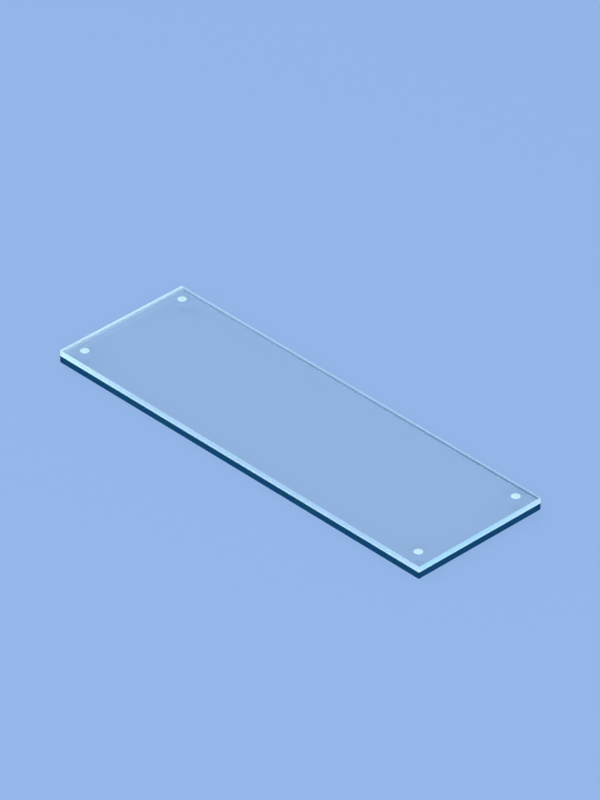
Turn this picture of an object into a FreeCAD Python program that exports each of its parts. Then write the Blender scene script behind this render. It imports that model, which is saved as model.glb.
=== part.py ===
import FreeCAD, Part
import os

# A microscope slide: one clear glass plate with ground edges, and a low dot of fired white
# enamel near each corner of its top face.
#
# Millimetres, +Z up. The origin is the centre of the bottom face, +X runs along the length
# and +Y across the width.

# ---- driving dimensions ----
plate_length = 75.0
plate_width = 25.0
plate_thickness = 2.15

corner_radius = 0.15    # the four upright edges, rounded in plan
arris = 0.05            # 45 degree break along every top and bottom edge

dot_diameter = 1.45
dot_height = 0.1        # how far a dot stands above the glass
dot_edge_radius = 0.06  # rounding of a dot's upper rim
dot_end_inset = 2.7     # a dot's centre, from the end of the plate
dot_side_inset = 2.55   # a dot's centre, from the long side of the plate

same_height = 1e-6      # heights closer than this are the same height


def edges_at_height(solid, height):
    """The edges of a solid that lie flat at one height."""
    return [
        edge
        for edge in solid.Edges
        if abs(edge.BoundBox.ZMin - height) < same_height
        and abs(edge.BoundBox.ZMax - height) < same_height
    ]


def upright_edges(solid):
    """The straight edges of a solid that run from its bottom to its top."""
    return [
        edge
        for edge in solid.Edges
        if edge.BoundBox.XLength < same_height
        and edge.BoundBox.YLength < same_height
    ]


def glass_plate():
    """The plate, centred over the origin, with its corners rounded and its edges broken."""
    corner = FreeCAD.Vector(-plate_length / 2, -plate_width / 2, 0)
    plate = Part.makeBox(plate_length, plate_width, plate_thickness, corner)
    plate = plate.makeFillet(corner_radius, upright_edges(plate))
    rims = edges_at_height(plate, 0.0) + edges_at_height(plate, plate_thickness)
    return plate.makeChamfer(arris, rims)


def enamel_dot(x, y):
    """One round dot that sits on the top face, with a rounded upper rim."""
    seat = FreeCAD.Vector(x, y, plate_thickness)
    dot = Part.makeCylinder(dot_diameter / 2, dot_height, seat)
    return dot.makeFillet(dot_edge_radius, edges_at_height(dot, plate_thickness + dot_height))


def dot_places():
    """Each dot's name and the place of its centre: an inset in from both edges of a corner."""
    dot_x = plate_length / 2 - dot_end_inset
    dot_y = plate_width / 2 - dot_side_inset
    places = {}
    for end_name, end_side in (("left", -1), ("right", 1)):
        for row_name, row_side in (("front", -1), ("rear", 1)):
            places[f"dot_{row_name}_{end_name}"] = (end_side * dot_x, row_side * dot_y)
    return places


def slide_pieces():
    """Every piece of the slide, by name."""
    pieces = {"glass_plate": glass_plate()}
    for name, (x, y) in dot_places().items():
        pieces[name] = enamel_dot(x, y)
    return pieces


os.makedirs("parts", exist_ok=True)
for name, piece in slide_pieces().items():
    piece.exportStep(f"parts/{name}.step")
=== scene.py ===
"""The looks of a microscope slide: clear float glass, ground edges and fired enamel dots."""

from math import cos, pi, radians, sin

import bpy
from mathutils import Matrix, Vector, noise


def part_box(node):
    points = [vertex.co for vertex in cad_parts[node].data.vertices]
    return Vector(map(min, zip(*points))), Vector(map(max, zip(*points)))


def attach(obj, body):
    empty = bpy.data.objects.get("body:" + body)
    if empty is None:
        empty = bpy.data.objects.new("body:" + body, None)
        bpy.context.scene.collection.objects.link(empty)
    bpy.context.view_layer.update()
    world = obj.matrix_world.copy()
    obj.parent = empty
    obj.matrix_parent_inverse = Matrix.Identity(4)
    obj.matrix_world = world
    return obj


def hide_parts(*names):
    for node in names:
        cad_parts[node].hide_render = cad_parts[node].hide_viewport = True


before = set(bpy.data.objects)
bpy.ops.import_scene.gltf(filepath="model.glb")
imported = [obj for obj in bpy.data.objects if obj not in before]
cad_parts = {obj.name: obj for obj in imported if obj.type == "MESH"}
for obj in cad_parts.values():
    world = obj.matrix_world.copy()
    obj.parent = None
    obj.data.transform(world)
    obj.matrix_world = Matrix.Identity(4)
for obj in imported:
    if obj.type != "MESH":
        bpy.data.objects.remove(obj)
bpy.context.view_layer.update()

MM = 0.001

# ---- the camera: how the slide is looked at ----
VIEW_AZIMUTH = 45.0  # degrees round from the front, towards +X
VIEW_ELEVATION = 34.8  # degrees above the floor
VIEW_ROLL = 1.0  # degrees
VIEW_DISTANCE = 1.16
LENS = 357.0  # mm on a 36 mm sensor
AIM_RIGHT = 0.39 * MM  # from the slide's origin to the middle of the picture
AIM_UP = 5.09 * MM

# ---- the stage ----
BACKDROP = "#96B8EC"
FLOOR_SIZE = 8.0
FLOOR_GAP = 0.03 * MM  # the plate lies on specks of dust, so the faces don't meet
WALLS_SHARE = 0.62  # how much of the light on the floor comes from the white walls all round
FILL_SHARE = 0.30  # from the broad light over the camera
END_SHARE = 0.12  # from the light at the left end

# ---- the plate's edges ----
CORNER_RADIUS = 0.15 * MM
CORNER_STEPS = 8
OUTLINE_STEP = 0.5 * MM  # spacing of the points along a side
ARRIS = 0.05 * MM  # width of the break along every edge
ARRIS_WANDER = 0.2  # how far the grinding wheel strays, as a share of the arris
SATIN_HEIGHT = 0.976 * MM  # how far down from the top face the edge is ground to satin
LINE_WANDER = 0.015 * MM  # how far the line between the satin and the smooth edge strays
WANDER_LENGTH = 1.7 * MM  # distance along the edge over which the arris and the line stray
SHARP_ARRIS = 30.0  # degrees between two faces from which the edge between them looks crisp
LEAST_TURN = 0.01  # a wall that faces the left by less than this share is part of a long side

# ---- the edges' finishes ----
# A zone's tones run from the front left corner, at 0, both ways round to the rear right corner, at 1.
# The satin tones are the ground glass's own pale colour with painted highlights: palest at the front
# left corner and again at the front right corner, at 0.75.
SATIN = {
    "roughness": 0.6,
    "specular": 0.3,
    "tones": (
        (0.00, "#D7FCF2"),
        (0.15, "#BBDDEE"),
        (0.35, "#B4D6EA"),
        (0.65, "#B3D5EB"),
        (0.75, "#C0E6F0"),
        (0.77, "#B0E4F0"),
        (0.88, "#B1DFF0"),
        (1.00, "#C7E6F1"),
    ),
    "hues": ("#F6FFFC", "#FBFAFF"),  # of the faint patches
    "lip_highlight_share": 0.24,  # how much of the painted highlight there is along the foot
}
SMOOTH_PAINTED_DARK = {  # its dark tones are a painted reflection of the dark under the slide
    "roughness": 0.3,
    "specular": 0.05,
    "tones": (
        (0.00, "#084369"),
        (1.00, "#074165"),
    ),
    "hues": ("#E8FFE6", "#F0ECFF"),
    "lip_highlight_share": 0.0,
}
LIP_HIGHLIGHT = "#E6FCF4"  # a painted highlight: the satin edge is whitest at its foot, along the line where the dark band starts
LIP_HEIGHT = 0.6 * MM

# From inside, through the glass, a zone has other tones, which are painted light: paler towards the
# left end, where its glow reaches, and darker towards the rear right corner. They show by one share
# at the plate's foot and by another from a height upwards, and the rest is what the smooth glass
# mirrors.
SATIN_INSIDE = {
    "tones": (
        (0.25, "#BCD5ED"),
        (0.62, "#B4CFE8"),
        (1.00, "#B1CBE6"),
    ),
    "shares": (1.0, 1.0),
    "height": 1.0 * MM,
}
SMOOTH_INSIDE = {
    "tones": (
        (0.25, "#789CBE"),
        (0.62, "#5A8AAA"),
        (1.00, "#337295"),
    ),
    "shares": (0.0, 0.65),
    "height": 0.5 * MM,
}
END_INSIDE = {  # the left end glows with the light that the plate carries to it
    "tones": ((0.0, "#DDFBFF"),),
    "shares": (0.07, 1.0),
    "height": 2.0 * MM,
}
ARRIS_INSIDE = {  # the bottom arris carries a painted reflection of the pale floor, and is paler where it meets the painted glow
    "tones": (
        (0.00, "#B4D2E8"),
        (0.25, "#98B8D3"),
        (0.30, "#91B0CB"),
    ),
    "shares": (1.0, 1.0),
    "height": 1.0 * MM,
}

# ---- the edges' patterns ----
GRAIN_LENGTH = 0.30 * MM  # marks of a diamond wheel, drawn ten times as coarse as they are, to show
GRAIN_HEIGHT = 0.12 * MM
GRAIN_LEVELS = (0.3, 0.7)  # the noise's levels at the darkest and the palest mark
GRAIN_SHADES = (0.84, 1.12)  # how dark and how pale those marks are
PATCH_SIZE = 1.2 * MM  # patches of hue where an edge catches other parts of the room
PATCH_LEVELS = (0.35, 0.65)  # the noise's levels at the one hue and the other
FLOOR_SHADES = (1.08, 0.97)  # how pale the light of the floor makes the foot of an edge, and the top

# ---- the clear glass ----
GLASS_IOR = 1.52
GLASS_COLOUR = "#FCFCF7"
PASSING_COLOUR = "#FFFFFD"  # of the light that passes straight
EDGE_PASSES = 0.85  # share of that light that gets through the edge's skin
WIPE_LENGTH = 10.0 * MM  # streaks left by a wiping cloth
WIPE_WIDTH = 2.0 * MM
WIPE_TURN = 0.35  # radians between the streaks and the plate's length
SMEAR_LEVELS = (0.5, 0.8)  # the noise's levels at a clean face and at the full smear
SMEAR_ROUGHNESS = 0.03

# ---- the enamel dots ----
DOT_SIDES = 48
DOT_RINGS = 10
DOT_PROFILE = (  # a dot's height over its distance from the middle, both as shares of the whole
    (0.0, 1.0),
    (0.6, 0.96),
    (0.85, 0.82),
    (1.0, 0.4),
)
SHARP_RIM = 60.0  # degrees between two faces from which the edge between them looks crisp
ENAMEL_COLOURS = ("#A9E2FF", "#E8FFFF")  # the enamel's own faint unevenness
ENAMEL_ROUGHNESS = 0.35
# painted shade: the foot of each dot is painted darker, where its low side wall stands in shadow
FOOT_SHADE_COLOUR = "#4A77AC"
FOOT_SHADE_HEIGHTS = (0.03 * MM, 0.05 * MM)  # from the glass up, where the painted shade at the dot's foot gives way to the enamel
PEEL_SIZE = 0.25 * MM  # lumps in the melted enamel, drawn twice as coarse as they are, to show

BUMP_HEIGHT = 0.01 * MM  # of the grain and of the orange peel
BUMP_STRENGTH = 0.2

# ---- places from the frame ----
plate_low, plate_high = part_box("glass_plate")
satin_foot = plate_high.z - SATIN_HEIGHT
dot_low, dot_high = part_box("dot_front_left")
far_dot_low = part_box("dot_rear_right")[0]


# ======== helpers ========


def linear(hex_colour):
    """An sRGB hex colour as the linear RGBA that a shader takes."""
    parts = [int(hex_colour[i : i + 2], 16) / 255 for i in (1, 3, 5)]
    return [*(c / 12.92 if c <= 0.04045 else ((c + 0.055) / 1.055) ** 2.4 for c in parts), 1.0]


def add(tree, kind, inputs=None, **settings):
    """Adds one node with its settings. An input that is given a socket is linked, any other is set."""
    node = tree.nodes.new(kind)
    for name, value in settings.items():
        setattr(node, name, value)
    for name, value in (inputs or {}).items():
        if isinstance(value, bpy.types.NodeSocket):
            tree.links.new(value, node.inputs[name])
        else:
            node.inputs[name].default_value = value
    return node


def new_material(name):
    """An empty material and its node tree."""
    material = bpy.data.materials.new(name)
    material.use_nodes = True
    material.node_tree.nodes.clear()
    return material, material.node_tree


def new_object(name, data):
    """An object at the origin for a mesh, a lamp or a camera."""
    thing = bpy.data.objects.new(name, data)
    bpy.context.scene.collection.objects.link(thing)
    return thing


def direction(azimuth, elevation):
    """The unit vector from the slide to what stands at these angles, in degrees."""
    azimuth, elevation = radians(azimuth), radians(elevation)
    return Vector((sin(azimuth) * cos(elevation), -cos(azimuth) * cos(elevation), sin(elevation)))


# ======== materials ========


def show(tree, shader, passes):
    """Joins a shader to the material's output. Light on its way from a lamp or another surface
    passes it straight, by the share given, because bent light would need far longer to settle."""
    path = add(tree, "ShaderNodeLightPath").outputs
    on_its_way = add(
        tree,
        "ShaderNodeMath",
        {0: path["Is Shadow Ray"], 1: path["Is Diffuse Ray"]},
        operation="MAXIMUM",
    ).outputs[0]
    share = add(tree, "ShaderNodeMath", {0: on_its_way, 1: passes}, operation="MULTIPLY").outputs[0]
    straight = add(tree, "ShaderNodeBsdfTransparent", {"Color": linear(PASSING_COLOUR)}).outputs[0]
    both = add(tree, "ShaderNodeMixShader", {0: share, 1: shader, 2: straight}).outputs[0]
    add(tree, "ShaderNodeOutputMaterial", {"Surface": both})


def clear_glass():
    """Polished soda-lime float glass: all but colourless, so the eye sees the floor through it, a
    little greyer, with a thin even sheen. Wiped faces keep a trace of smear in the sheen."""
    material, tree = new_material("polished float glass")
    place = add(tree, "ShaderNodeTexCoord").outputs["Object"]
    streaks = add(
        tree,
        "ShaderNodeMapping",
        {
            "Vector": place,
            "Scale": (1 / WIPE_LENGTH, 1 / WIPE_WIDTH, 1.0),
            "Rotation": (0, 0, WIPE_TURN),
        },
    ).outputs[0]
    smear = add(tree, "ShaderNodeTexNoise", {"Vector": streaks, "Scale": 1.0, "Detail": 3.0}).outputs[0]
    roughness = add(
        tree,
        "ShaderNodeMapRange",
        {
            "Value": smear,
            "From Min": SMEAR_LEVELS[0],
            "From Max": SMEAR_LEVELS[1],
            "To Min": 0.0,
            "To Max": SMEAR_ROUGHNESS,
        },
    ).outputs[0]
    glass = add(
        tree,
        "ShaderNodeBsdfPrincipled",
        {
            "Base Color": linear(GLASS_COLOUR),
            "Transmission Weight": 1.0,
            "IOR": GLASS_IOR,
            "Roughness": roughness,
        },
    ).outputs[0]
    show(tree, glass, passes=1.0)
    return material


def edge_tones(tree, along, finish, inside):
    """The tone of an edge from outside and its tone from inside, each as a ramp along the edge."""
    from_corner = add(
        tree,
        "ShaderNodeMapRange",
        {
            "Value": along,
            "From Min": plate_low.x + plate_low.y,
            "From Max": plate_high.x + plate_high.y,
        },
    ).outputs[0]
    tones = []
    for stops in (finish["tones"], inside["tones"]):
        ramp = add(tree, "ShaderNodeValToRGB", {"Fac": from_corner})
        elements = ramp.color_ramp.elements
        elements.remove(elements[1])
        elements[0].position = stops[0][0]
        elements[0].color = linear(stops[0][1])
        for at, colour in stops[1:]:
            elements.new(at).color = linear(colour)
        tones.append(ramp.outputs["Color"])
    return tones


def outer_colour(tree, place, height, tone, finish):
    """An edge's tone from outside, faintly patched with two hues and with a painted highlight at the
    lip.
    """
    spots = add(
        tree, "ShaderNodeTexNoise", {"Vector": place, "Scale": 1 / PATCH_SIZE, "Detail": 1.0}
    ).outputs[0]
    patch = add(
        tree,
        "ShaderNodeMapRange",
        {"Value": spots, "From Min": PATCH_LEVELS[0], "From Max": PATCH_LEVELS[1]},
    ).outputs[0]
    first_hue, second_hue = finish["hues"]
    hue = add(
        tree,
        "ShaderNodeMix",
        {0: patch, 6: linear(first_hue), 7: linear(second_hue)},
        data_type="RGBA",
    ).outputs[2]
    patched = add(
        tree, "ShaderNodeMix", {0: 1.0, 6: tone, 7: hue}, data_type="RGBA", blend_type="MULTIPLY"
    ).outputs[2]
    # painted highlight along the foot of the satin edge
    lip = add(
        tree,
        "ShaderNodeMapRange",
        {
            "Value": height,
            "From Min": satin_foot,
            "From Max": satin_foot + LIP_HEIGHT,
            "To Min": finish["lip_highlight_share"],
            "To Max": 0.0,
        },
        interpolation_type="SMOOTHSTEP",
    ).outputs[0]
    return add(
        tree, "ShaderNodeMix", {0: lip, 6: patched, 7: linear(LIP_HIGHLIGHT)}, data_type="RGBA"
    ).outputs[2]


def edge_glass(name, finish, inside):
    """One zone of the plate's edge. From outside it is a skin of one finish, with a fine ground grain,
    and a little paler towards the floor, which lights it. From inside, through the glass, the skin
    shows by a share that changes with the height, and the rest of the light glances off smooth glass."""
    material, tree = new_material(name)
    place = add(tree, "ShaderNodeTexCoord").outputs["Object"]
    axes = add(tree, "ShaderNodeSeparateXYZ", {"Vector": place}).outputs
    is_inside = add(tree, "ShaderNodeNewGeometry").outputs["Backfacing"]
    along = add(tree, "ShaderNodeMath", {0: axes["X"], 1: axes["Y"]}, operation="ADD").outputs[0]
    outer_tone, inner_tone = edge_tones(tree, along, finish, inside)
    outer = outer_colour(tree, place, axes["Z"], outer_tone, finish)
    # from inside, the skin takes the painted light of the inside tones
    toned = add(
        tree, "ShaderNodeMix", {0: is_inside, 6: outer, 7: inner_tone}, data_type="RGBA"
    ).outputs[2]

    marks = add(
        tree,
        "ShaderNodeMapping",
        {"Vector": place, "Scale": (1 / GRAIN_LENGTH, 1 / GRAIN_LENGTH, 1 / GRAIN_HEIGHT)},
    ).outputs[0]
    grain = add(tree, "ShaderNodeTexNoise", {"Vector": marks, "Scale": 1.0, "Detail": 3.0}).outputs[0]
    mark_shade = add(
        tree,
        "ShaderNodeMapRange",
        {
            "Value": grain,
            "From Min": GRAIN_LEVELS[0],
            "From Max": GRAIN_LEVELS[1],
            "To Min": GRAIN_SHADES[0],
            "To Max": GRAIN_SHADES[1],
        },
    ).outputs[0]
    floor_shade = add(
        tree,
        "ShaderNodeMapRange",
        {
            "Value": axes["Z"],
            "From Min": plate_low.z,
            "From Max": plate_high.z,
            "To Min": FLOOR_SHADES[0],
            "To Max": FLOOR_SHADES[1],
        },
    ).outputs[0]
    shade = add(
        tree, "ShaderNodeMath", {0: mark_shade, 1: floor_shade}, operation="MULTIPLY"
    ).outputs[0]
    shaded = add(
        tree, "ShaderNodeMix", {0: 1.0, 6: toned, 7: shade}, data_type="RGBA", blend_type="MULTIPLY"
    ).outputs[2]
    bump = add(
        tree, "ShaderNodeBump", {"Height": grain, "Strength": BUMP_STRENGTH, "Distance": BUMP_HEIGHT}
    ).outputs[0]
    skin = add(
        tree,
        "ShaderNodeBsdfPrincipled",
        {
            "Base Color": shaded,
            "Roughness": finish["roughness"],
            "Specular IOR Level": finish["specular"],
            "Normal": bump,
        },
    ).outputs[0]

    share = add(
        tree,
        "ShaderNodeMapRange",
        {
            "Value": axes["Z"],
            "From Min": plate_low.z,
            "From Max": plate_low.z + inside["height"],
            "To Min": inside["shares"][0],
            "To Max": inside["shares"][1],
        },
        interpolation_type="SMOOTHSTEP",
    ).outputs[0]
    mirror = add(tree, "ShaderNodeBsdfGlass", {"IOR": GLASS_IOR, "Roughness": 0.0}).outputs[0]
    from_inside = add(tree, "ShaderNodeMixShader", {0: share, 1: mirror, 2: skin}).outputs[0]
    seen = add(tree, "ShaderNodeMixShader", {0: is_inside, 1: skin, 2: from_inside}).outputs[0]
    show(tree, seen, passes=EDGE_PASSES)
    return material


def fired_enamel():
    """Screen-printed white enamel, fired on: an opaque, faintly cool white with a soft gloss and the
    slight orange peel of melted glass frit. Its foot is painted darker, a painted shade where the
    dot's low side wall stands in shadow."""
    material, tree = new_material("fired white enamel")
    place = add(tree, "ShaderNodeTexCoord").outputs["Object"]
    peel = add(
        tree, "ShaderNodeTexNoise", {"Vector": place, "Scale": 1 / PEEL_SIZE, "Detail": 2.0}
    ).outputs[0]
    hollow, lump = ENAMEL_COLOURS
    tone = add(
        tree,
        "ShaderNodeMix",
        {0: peel, 6: linear(hollow), 7: linear(lump)},
        data_type="RGBA",
    ).outputs[2]
    height = add(tree, "ShaderNodeSeparateXYZ", {"Vector": place}).outputs["Z"]
    # the painted shade at the dot's foot
    above_foot_shade = add(
        tree,
        "ShaderNodeMapRange",
        {
            "Value": height,
            "From Min": plate_high.z + FOOT_SHADE_HEIGHTS[0],
            "From Max": plate_high.z + FOOT_SHADE_HEIGHTS[1],
        },
    ).outputs[0]
    foot_shaded = add(
        tree,
        "ShaderNodeMix",
        {0: above_foot_shade, 6: linear(FOOT_SHADE_COLOUR), 7: tone},
        data_type="RGBA",
    ).outputs[2]
    bump = add(
        tree, "ShaderNodeBump", {"Height": peel, "Strength": BUMP_STRENGTH, "Distance": BUMP_HEIGHT}
    ).outputs[0]
    enamel = add(
        tree,
        "ShaderNodeBsdfPrincipled",
        {"Base Color": foot_shaded, "Roughness": ENAMEL_ROUGHNESS, "Normal": bump},
    ).outputs[0]
    add(tree, "ShaderNodeOutputMaterial", {"Surface": enamel})
    return material


def matt_floor():
    """A plain sheet of pale blue card, quite matt."""
    material, tree = new_material("pale blue card")
    card = add(tree, "ShaderNodeBsdfDiffuse", {"Color": linear(BACKDROP)}).outputs[0]
    add(tree, "ShaderNodeOutputMaterial", {"Surface": card})
    return material


# ======== the plate ========


def outline():
    """Points round the plate's side walls, anticlockwise from above, each as the centre that it is
    measured from and its outward direction."""
    middle = (plate_low + plate_high) / 2
    half_x = (plate_high.x - plate_low.x) / 2 - CORNER_RADIUS
    half_y = (plate_high.y - plate_low.y) / 2 - CORNER_RADIUS
    corners = [(1, 1), (-1, 1), (-1, -1), (1, -1)]
    pivots = [Vector((middle.x + x * half_x, middle.y + y * half_y, 0)) for x, y in corners]
    points = []
    for turn, pivot in enumerate(pivots):
        for step in range(CORNER_STEPS + 1):
            angle = (turn + step / CORNER_STEPS) * pi / 2
            outward = Vector((cos(angle), sin(angle), 0))
            points.append((pivot, outward))
        next_pivot = pivots[(turn + 1) % len(pivots)]
        count = round((next_pivot - pivot).length / OUTLINE_STEP)
        for step in range(1, count):
            points.append((pivot.lerp(next_pivot, step / count), outward))
    return points


def wander(place, layer):
    """A slow random stray between about -1 and 1 along the edge, the same each time. Layers of the
    noise that are ten apart have nothing to do with each other."""
    return noise.noise(Vector((place.x, place.y, 0)) / WANDER_LENGTH + Vector((0, 0, 10 * layer)))


def plate_mesh(materials):
    """The plate as rings of points, from the bottom face up to the top face. The materials are those
    of the clear faces, the bottom arris, the lower and upper edge, and the same two at the left end."""
    clear, foot, lower, upper, end_lower, end_upper = range(len(materials))
    side_zones = (foot, lower, upper, upper)
    end_zones = (foot, end_lower, end_upper, end_upper)
    vertices, faces, zones = [], [], []
    around = outline()
    for pivot, outward in around:
        place = pivot + outward * CORNER_RADIUS
        bottom_arris = ARRIS * (1 + ARRIS_WANDER * wander(place, 0))
        top_arris = ARRIS * (1 + ARRIS_WANDER * wander(place, 1))
        line = satin_foot + LINE_WANDER * wander(place, 2)
        rings = (
            (bottom_arris, plate_low.z),
            (0, plate_low.z + bottom_arris),
            (0, line),
            (0, plate_high.z - top_arris),
            (top_arris, plate_high.z),
        )
        for inset, height in rings:
            point = place - outward * inset
            vertices.append((point.x, point.y, height))
    column = len(rings)  # points one above another at each place round the plate
    total = len(around)
    for at in range(total):
        after = (at + 1) % total
        is_end = min(around[at][1].x, around[after][1].x) < -LEAST_TURN
        for ring, zone in enumerate(end_zones if is_end else side_zones):
            here, there = at * column + ring, after * column + ring
            faces.append((here, there, there + 1, here + 1))
            zones.append(zone)
    faces.append(tuple(at * column for at in reversed(range(total))))
    faces.append(tuple(at * column + column - 1 for at in range(total)))
    zones += [clear, clear]

    mesh = bpy.data.meshes.new("glass_plate_finished")
    mesh.from_pydata(vertices, [], faces)
    for material in materials:
        mesh.materials.append(material)
    mesh.polygons.foreach_set("material_index", zones)
    mesh.shade_smooth()
    mesh.set_sharp_from_angle(angle=radians(SHARP_ARRIS))
    mesh.update()
    return mesh


# ======== the dots ========


def dot_tree(material):
    """A tree that lays one low domed dot at each corner of a rectangle."""
    tree = bpy.data.node_groups.new("corner dots", "GeometryNodeTree")
    sockets = tree.interface
    sockets.new_socket("Geometry", in_out="OUTPUT", socket_type="NodeSocketGeometry")
    for name in ("Length Between", "Width Between", "Radius", "Height", "Seat"):
        sockets.new_socket(name, in_out="INPUT", socket_type="NodeSocketFloat")
    given = add(tree, "NodeGroupInput").outputs
    blank = add(
        tree,
        "GeometryNodeMeshCylinder",
        {
            "Vertices": DOT_SIDES,
            "Fill Segments": DOT_RINGS,
            "Radius": given["Radius"],
            "Depth": given["Height"],
        },
        fill_type="TRIANGLE_FAN",
    ).outputs["Mesh"]

    # the upper face is lifted to the profile, and the lower face is laid on the glass
    place = add(tree, "GeometryNodeInputPosition").outputs[0]
    axes = add(tree, "ShaderNodeSeparateXYZ", {"Vector": place}).outputs
    level = add(tree, "ShaderNodeCombineXYZ", {"X": axes["X"], "Y": axes["Y"]}).outputs[0]
    out = add(tree, "ShaderNodeVectorMath", {0: level}, operation="LENGTH").outputs["Value"]
    share = add(tree, "ShaderNodeMapRange", {"Value": out, "From Max": given["Radius"]}).outputs[0]
    profile = add(tree, "ShaderNodeFloatCurve", {"Value": share})
    curve = profile.mapping.curves[0]
    curve.points[0].location = DOT_PROFILE[0]
    curve.points[1].location = DOT_PROFILE[-1]
    for x, y in DOT_PROFILE[1:-1]:
        curve.points.new(x, y)
    profile.mapping.update()
    is_top = add(tree, "ShaderNodeMath", {0: axes["Z"], 1: 0.0}, operation="GREATER_THAN").outputs[0]
    full = add(tree, "ShaderNodeMath", {0: is_top, 1: given["Height"]}, operation="MULTIPLY").outputs[0]
    rise = add(
        tree,
        "ShaderNodeMath",
        {0: profile.outputs[0], 1: full, 2: given["Seat"]},
        operation="MULTIPLY_ADD",
    ).outputs[0]
    moved = add(tree, "ShaderNodeCombineXYZ", {"X": axes["X"], "Y": axes["Y"], "Z": rise}).outputs[0]
    dome = add(tree, "GeometryNodeSetPosition", {"Geometry": blank, "Position": moved}).outputs[0]

    corners = add(
        tree,
        "GeometryNodeMeshGrid",
        {
            "Size X": given["Length Between"],
            "Size Y": given["Width Between"],
            "Vertices X": 2,
            "Vertices Y": 2,
        },
    ).outputs["Mesh"]
    laid = add(tree, "GeometryNodeInstanceOnPoints", {"Points": corners, "Instance": dome}).outputs[0]
    solid = add(tree, "GeometryNodeRealizeInstances", {"Geometry": laid}).outputs[0]
    finished = add(tree, "GeometryNodeSetMaterial", {"Geometry": solid, "Material": material}).outputs[0]
    add(tree, "NodeGroupOutput", {"Geometry": finished})
    return tree


def grown(name, tree, values):
    """A plain object made by a geometry tree, with the named values on its inputs."""
    seed = new_object("seed", bpy.data.meshes.new("seed"))
    modifier = seed.modifiers.new("grow", "NODES")
    modifier.node_group = tree
    for item in tree.interface.items_tree:
        if item.in_out == "INPUT" and item.name in values:
            modifier[item.identifier] = values[item.name]
    ready = seed.evaluated_get(bpy.context.evaluated_depsgraph_get())
    mesh = bpy.data.meshes.new_from_object(ready)
    bpy.data.objects.remove(seed)
    mesh.name = name
    return new_object(name, mesh)


# ======== the stage ========


def lay_floor():
    """A level floor just under the slide."""
    half = FLOOR_SIZE / 2
    height = plate_low.z - FLOOR_GAP
    corners = [(x, y, height) for x, y in ((-half, -half), (half, -half), (half, half), (-half, half))]
    mesh = bpy.data.meshes.new("floor")
    mesh.from_pydata(corners, [], [(0, 1, 2, 3)])
    mesh.materials.append(matt_floor())
    return new_object("floor", mesh)


def room_light():
    """Light from white walls all round, strongest at the floor and fading to none overhead, so that
    upright edges are as well lit as the top. What the camera, the gloss and the glass see is the
    backdrop."""
    world = bpy.data.worlds.new("studio")
    bpy.context.scene.world = world
    world.use_nodes = True
    tree = world.node_tree
    tree.nodes.clear()
    way = add(tree, "ShaderNodeTexCoord").outputs["Generated"]
    height = add(tree, "ShaderNodeSeparateXYZ", {"Vector": way}).outputs["Z"]
    # a wall that fades evenly to none overhead lights the floor by a third of its strength at the foot
    strength = add(
        tree,
        "ShaderNodeMapRange",
        {"Value": height, "From Min": 0.0, "From Max": 1.0, "To Min": 3 * WALLS_SHARE, "To Max": 0.0},
    ).outputs[0]
    glow = add(
        tree, "ShaderNodeBackground", {"Color": linear("#FFFFFF"), "Strength": strength}
    ).outputs[0]
    seen = add(tree, "ShaderNodeBackground", {"Color": linear(BACKDROP), "Strength": 1.0}).outputs[0]
    path = add(tree, "ShaderNodeLightPath").outputs
    looks = path["Is Camera Ray"]
    for ray in ("Is Glossy Ray", "Is Transmission Ray"):
        looks = add(tree, "ShaderNodeMath", {0: looks, 1: path[ray]}, operation="MAXIMUM").outputs[0]
    mixed = add(tree, "ShaderNodeMixShader", {0: looks, 1: glow, 2: seen}).outputs[0]
    add(tree, "ShaderNodeOutputWorld", {"Surface": mixed})


def softbox(name, azimuth, elevation, distance, size, share):
    """A square area light turned to the slide, which gives a white floor this share of its light.
    The gloss and the glass don't mirror it."""
    towards = direction(azimuth, elevation)
    lamp = bpy.data.lights.new(name, "AREA")
    lamp.shape = "SQUARE"
    lamp.size = size
    # a white floor needs pi watts a square metre, and gets power * towards.z / (pi * distance**2)
    lamp.energy = share * pi**2 * distance**2 / towards.z
    box = new_object(name, lamp)
    box.location = towards * distance
    box.rotation_mode = "QUATERNION"
    box.rotation_quaternion = towards.to_track_quat("Z", "Y")
    box.visible_glossy = False
    box.visible_transmission = False


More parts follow.
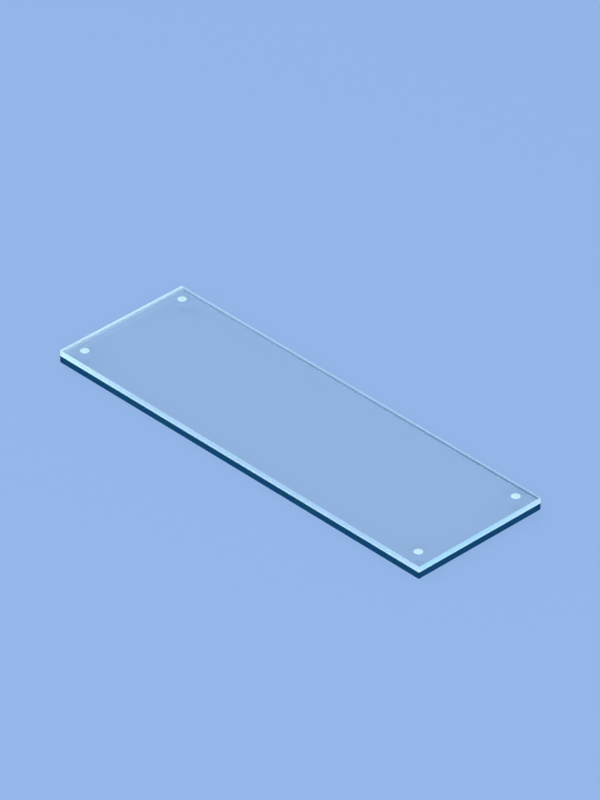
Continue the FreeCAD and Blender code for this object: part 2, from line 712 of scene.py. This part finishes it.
def place_camera():
    """The camera, turned to the slide's origin and then slid sideways and up to frame it."""
    azimuth, roll = radians(VIEW_AZIMUTH), radians(VIEW_ROLL)
    back = direction(VIEW_AZIMUTH, VIEW_ELEVATION)
    level = Vector((cos(azimuth), sin(azimuth), 0))
    upright = back.cross(level)
    right = level * cos(roll) + upright * sin(roll)
    up = upright * cos(roll) - level * sin(roll)
    place = right * AIM_RIGHT + up * AIM_UP + back * VIEW_DISTANCE
    data = bpy.data.cameras.new("camera")
    data.lens = LENS
    data.clip_start, data.clip_end = 0.01, 20.0
    camera = new_object("camera", data)
    camera.matrix_world = Matrix.Translation(place) @ Matrix((right, up, back)).transposed().to_4x4()
    bpy.context.scene.camera = camera


# ======== the object ========

plate_finishes = [
    clear_glass(),
    # the bottom arris and the lower edges are painted dark, a painted reflection of the dark under the
    # slide
    edge_glass("ground glass arris", SMOOTH_PAINTED_DARK, ARRIS_INSIDE),
    edge_glass("smooth glass edge", SMOOTH_PAINTED_DARK, SMOOTH_INSIDE),
    edge_glass("satin ground edge", SATIN, SATIN_INSIDE),
    edge_glass("smooth glass end", SMOOTH_PAINTED_DARK, END_INSIDE),
    edge_glass("satin ground end", SATIN, END_INSIDE),
]
glass_plate = new_object("glass_plate_finished", plate_mesh(plate_finishes))
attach(glass_plate, "root")
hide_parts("glass_plate")

dot_nodes = [f"dot_{row}_{end}" for row in ("front", "rear") for end in ("left", "right")]
enamel_dots = grown(
    "enamel_dots",
    dot_tree(fired_enamel()),
    {
        "Length Between": far_dot_low.x - dot_low.x,
        "Width Between": far_dot_low.y - dot_low.y,
        "Radius": (dot_high.x - dot_low.x) / 2,
        "Height": dot_high.z - dot_low.z,
        "Seat": dot_low.z,
    },
)
enamel_dots.data.shade_smooth()
enamel_dots.data.set_sharp_from_angle(angle=radians(SHARP_RIM))
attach(enamel_dots, "root")
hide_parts(*dot_nodes)

# ======== the picture ========

lay_floor()
room_light()
softbox("fill light", azimuth=VIEW_AZIMUTH, elevation=35.0, distance=2.5, size=2.0, share=FILL_SHARE)
softbox("end light", azimuth=-90.0, elevation=40.0, distance=2.5, size=1.5, share=END_SHARE)
place_camera()
bpy.context.scene.view_settings.view_transform = "Standard"
